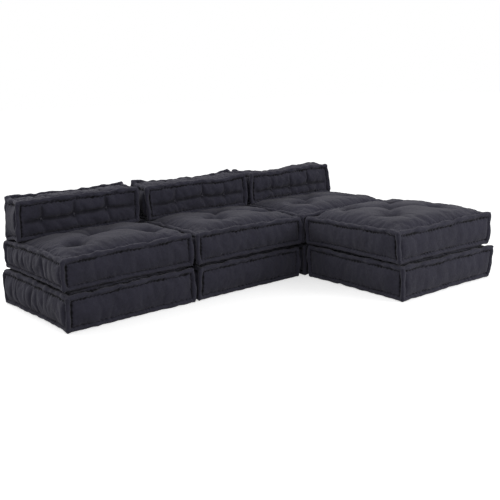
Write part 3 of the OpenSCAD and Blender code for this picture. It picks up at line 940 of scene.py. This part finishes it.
def pad_cloth(piece, weights):
    """Gives a piece a cloth that its filling pushes out between the points that are held."""
    sewing = bpy.context.scene.sofa_sewing
    group = piece.vertex_groups.new(name="held")
    for value in np.unique(weights[weights > 0]):
        group.add([int(k) for k in np.nonzero(weights == value)[0]], float(value), "REPLACE")
    cloth = piece.modifiers.new("padding", "CLOTH")
    cloth.collision_settings.use_collision = False
    cloth.collision_settings.use_self_collision = False
    s = cloth.settings
    s.quality = 4
    s.mass = 0.3
    s.tension_stiffness = s.compression_stiffness = 15
    s.shear_stiffness = 5
    s.bending_stiffness = sewing.stiffness
    s.use_pressure = True
    s.uniform_pressure_force = sewing.pressure
    s.shrink_min = -sewing.slack
    s.vertex_group_mass = "held"
    s.pin_stiffness = 1
    s.effector_weights.gravity = 0


def settle(pairs):
    """Runs the cloth of all the pieces together and moves their meshes by what each point keeps of it."""
    scene = bpy.context.scene
    sewing = scene.sofa_sewing
    scene.frame_start, scene.frame_end = 1, sewing.frames
    for step in range(1, sewing.frames + 1):
        scene.frame_set(step)
    graph = bpy.context.evaluated_depsgraph_get()
    for piece, cushion in pairs:
        before = points(piece.data)
        settled = bpy.data.meshes.new_from_object(piece.evaluated_get(graph))
        piece.modifiers.clear()
        flat = vectors(piece.data.attributes["flat"].data, "vector")
        moved = (points(settled) - before) * cushion.looseness(flat)[:, None]
        far = np.maximum(np.linalg.norm(moved, axis=1), 1e-9)
        moved *= (sewing.cap * np.tanh(far / sewing.cap) / far)[:, None]
        move(piece.data, before + moved)
    scene.frame_set(1)


def finer(piece):
    """Puts one subdivision into a piece's mesh."""
    fine = piece.modifiers.new("finer", "SUBSURF")
    fine.levels = fine.render_levels = 1
    graph = bpy.context.evaluated_depsgraph_get()
    made = bpy.data.meshes.new_from_object(piece.evaluated_get(graph))
    piece.modifiers.clear()
    piece.data = made


def finish_case(piece, cushion):
    """Smooths a settled case, draws in its stitches, pleats and creases and sets it on what carries it.
    Returns the places of its ties on both faces."""
    finer(piece)
    mesh = piece.data
    flat, normals = vectors(mesh.attributes["flat"].data, "vector"), vectors(mesh.vertices, "normal")
    places = Places(flat, cushion.size)
    stitches = cushion.stitches(places)
    creases = cushion.creases(flat, places)
    pleats, pleated = cushion.pleats(flat, places)
    depth = cushion.lip_dents(places, stitches) + cushion.gathers(places) + pleats
    depth += cushion.wrinkles(flat, places) + cushion.drawn_in(flat, places, creases)
    move(mesh, cushion.pressed(points(mesh) - normals * depth[:, None], flat))
    keep(mesh, "edge", places.edge)
    keep(mesh, "stitch", stitches)
    # The crease and drawn attributes set the painted shade of the canvas: in creases, pleats and ties, and
    # along the seams
    keep(mesh, "crease", np.maximum(creases, pleated))
    keep(mesh, "drawn", cushion.drawn(places))
    mesh.attributes.remove(mesh.attributes["flat"])
    co = points(mesh)
    faces = [(places.side == cushion.face_axis) & (places.high == high) for high in (False, True)]
    ends = []
    for tie in cushion.ties:
        away = np.hypot(flat[:, 0] - tie[0], flat[:, cushion.up] - tie[1])
        ends.append([Vector(co[np.argmin(np.where(face, away, FAR))]) for face in faces])
    return ends


def rod(bm, middle, aim, depth, radii, sides):
    """Adds a round rod about its middle, with a radius for each end."""
    turned = Matrix.Translation(middle) @ aim.to_track_quat("Z", "Y").to_matrix().to_4x4()
    first, second = radii
    bmesh.ops.create_cone(
        bm, cap_ends=True, segments=sides, radius1=first, radius2=second, depth=depth, matrix=turned
    )


def twine(name, ends, axis, random):
    """Twine between the two places of each tie, with a flat knot and two short tails at both. No tail is laid
    on an underside."""
    bm = bmesh.new()
    for pair in ends:
        run = pair[1] - pair[0]
        rod(bm, (pair[0] + pair[1]) / 2, run, run.length, (2 * MM, 2 * MM), 10)
        for place, sign in zip(pair, (-1, 1)):
            out = Vector((0, 0, 0))
            out[axis] = sign
            aim = out.to_track_quat("Z", "Y").to_matrix()
            flat_knot = Matrix.Diagonal((6 * MM, 6 * MM, 3 * MM, 1))
            knot = Matrix.Translation(place + out * MM) @ aim.to_4x4() @ flat_knot
            bmesh.ops.create_icosphere(bm, subdivisions=2, radius=1, matrix=knot)
            if axis == 2 and sign < 0:
                continue
            for heading in random.uniform((-1.6, 1.2), (-0.4, 2.6)):
                side = aim @ Vector((math.cos(heading), math.sin(heading), 0))
                tail = (side * 0.72 + out * 0.55).normalized()
                rod(bm, place + tail * 8 * MM, tail, 14 * MM, (1.5 * MM, 1.2 * MM), 8)
    return mesh_of(bm, name)


class SOFA_OT_cushions(bpy.types.Operator):
    """Sews, fills and ties the eleven cushions."""

    bl_idname = "sofa.cushions"
    bl_label = "Cushions"

    def execute(self, context):
        noise.seed_set(NOISE_SEED)
        pairs = []
        for number, name in enumerate(CUSHIONS):
            cushion = Cushion(name, number)
            mesh = cloth_box(f"{name}_case", cushion.lines())
            flat = points(mesh)
            form = cushion.placed(cushion.shaped(cushion.sewn(flat), flat))
            apart = cushion.uneven(form, 6 * MM, 160 * MM) + cushion.uneven(form, 2.5 * MM, 45 * MM)
            apart[:, 2] *= ease(0, 60 * MM, flat[:, 2]) * 0.8 + 0.2
            move(mesh, form + apart)
            piece = new_piece(f"{name}_case", mesh)
            pad_cloth(piece, cushion.held(flat))
            pairs.append((piece, cushion))
        settle(pairs)
        for piece, cushion in pairs:
            ends = finish_case(piece, cushion)
            dress(piece, woven_cotton_canvas)
            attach(piece, cushion.name)
            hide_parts(f"{cushion.name}_cover")
            knots = f"{cushion.name}_knots"
            knotted = new_piece(knots, twine(knots, ends, cushion.face_axis, cushion.random))
            dress(knotted, waxed_linen_twine)
            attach(knotted, cushion.name)
            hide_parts(f"{cushion.name}_ties")
        return {"FINISHED"}


class SOFA_OT_fillings(bpy.types.Operator):
    """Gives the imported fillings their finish."""

    bl_idname = "sofa.fillings"
    bl_label = "Fillings"

    def execute(self, context):
        for name in CUSHIONS:
            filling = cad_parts[f"{name}_filling"]
            filling.data.materials.clear()
            filling.data.materials.append(finish_by_name(raw_cotton_fibre))
        return {"FINISHED"}


def angle(name, description, degrees):
    """A property for an angle, whose default is given in degrees."""
    return number(name, description, math.radians(degrees), subtype="ANGLE")


class SofaStage(bpy.types.PropertyGroup):
    """The camera and the light."""

    focal: number("Focal length", "Of the camera, in millimetres", 52.556)
    turn: angle("Turn", "Camera's heading, right of straight ahead", 37.49)
    tilt: angle("Tilt", "Camera's tilt, down from level", 12.769)
    lean: angle("Lean", "Camera's lean, to the left", -1.912)
    place: FloatVectorProperty(
        name="Place",
        description="Place of the camera",
        default=(-2.3221, -2.9977, 1.073),
        subtype="TRANSLATION",
    )
    overhead: number("Overhead light", "Power of the overhead softbox", 42, unit="POWER")
    front: number("Front light", "Power of the front softbox", 34, unit="POWER")
    surround: number("Surround", "Strength of the white room's own light", 0.58)


def aimed(name, data, place, target):
    """A light or a camera at a place, aimed at a target."""
    made = new_piece(name, data)
    made.location = place
    made.rotation_euler = (Vector(target) - Vector(place)).to_track_quat("-Z", "Y").to_euler()
    return made


def softbox(name, size, power, place, target):
    """A square lamp at a place, aimed at a target."""
    lamp = bpy.data.lights.new(name, "AREA")
    lamp.shape = "SQUARE"
    lamp.size = size
    lamp.energy = power
    return aimed(name, lamp, place, target)


def white_studio_floor():
    """Matt white studio paper, which the camera and a mirror see paler than the light that it sends back."""
    made, add = new_material("white studio floor")
    rays = add("LightPath", {}).node.outputs
    seen = add("Math", {0: rays["Is Camera Ray"], 1: rays["Is Glossy Ray"]}, operation="MAXIMUM")
    seen = add("Math", {0: seen, 1: rays["Is Transmission Ray"]}, operation="MAXIMUM")
    shade = add("Mix", {0: seen, 6: (0.3, 0.3, 0.3, 1), 7: (0.95, 0.95, 0.95, 1)}, 2, data_type="RGBA")
    lift = add("Math", {0: seen, 1: 0.55}, operation="MULTIPLY")
    matt = {"Roughness": 1, "Specular IOR Level": 0}
    glow = {"Emission Color": (1, 1, 1, 1), "Emission Strength": lift}
    return finished(made, {"Base Color": shade, **matt, **glow})


class SOFA_OT_stage(bpy.types.Operator):
    """Sets the camera, the floor and the light."""

    bl_idname = "sofa.stage"
    bl_label = "Stage"

    def execute(self, context):
        scene, stage = context.scene, context.scene.sofa_stage
        lens = bpy.data.cameras.new("camera")
        lens.sensor_width = 36
        lens.lens = stage.focal
        level = math.cos(stage.tilt)
        ahead = Vector((math.sin(stage.turn) * level, math.cos(stage.turn) * level, -math.sin(stage.tilt)))
        camera = new_piece("camera", lens)
        turned = ahead.to_track_quat("-Z", "Y").to_matrix() @ Matrix.Rotation(stage.lean, 3, "Z")
        camera.matrix_world = Matrix.Translation(Vector(stage.place)) @ turned.to_4x4()
        scene.camera = camera

        bm = bmesh.new()
        bmesh.ops.create_grid(bm, x_segments=1, y_segments=1, size=40)
        floor = new_piece("floor", mesh_of(bm, "floor", smooth=False))
        floor.data.materials.append(white_studio_floor())

        world = bpy.data.worlds.new("studio")
        scene.world = world
        world.use_nodes = True
        tree = world.node_tree
        tree.nodes.clear()
        seen = add_node(tree, "LightPath", {}, "Is Camera Ray")
        strength = add_node(tree, "MapRange", {0: seen, 3: stage.surround, 4: 1})
        sky = add_node(tree, "Background", {"Color": (1, 1, 1, 1), "Strength": strength})
        add_node(tree, "OutputWorld", {"Surface": sky})

        softbox("overhead softbox", 2.0, stage.overhead, (-1.2, 2.9, 2.2), (0, 0, 0.3))
        softbox("front softbox", 1.5, stage.front, (2.0, -3.2, 1.5), (0.75, -0.7, 0.2))
        scene.view_settings.view_transform = "Standard"
        return {"FINISHED"}


class SOFA_PT_panel(bpy.types.Panel):
    """Lists the pieces in the order in which they are made."""

    bl_idname = "SOFA_PT_panel"
    bl_label = "Tufted Mattress Sofa"
    bl_space_type = "VIEW_3D"
    bl_region_type = "UI"
    bl_category = "Sofa"

    def draw(self, context):
        for step in STEPS:
            self.layout.operator(step.bl_idname)


STEPS = (SOFA_OT_cushions, SOFA_OT_fillings, SOFA_OT_stage)
GROUPS = {
    "sofa_sizes": SofaSizes,
    "sofa_sewing": SofaSewing,
    "sofa_colours": SofaColours,
    "sofa_stage": SofaStage,
}
CLASSES = (*GROUPS.values(), *STEPS, SOFA_PT_panel)


def register():
    for one in CLASSES:
        bpy.utils.register_class(one)
    for name, group in GROUPS.items():
        setattr(bpy.types.Scene, name, PointerProperty(type=group))


def unregister():
    for name in GROUPS:
        delattr(bpy.types.Scene, name)
    for one in reversed(CLASSES):
        bpy.utils.unregister_class(one)


def main():
    """Makes the pieces and the stage."""
    register()
    bpy.ops.sofa.cushions()
    bpy.ops.sofa.fillings()
    bpy.ops.sofa.stage()


if __name__ == "__main__":
    main()
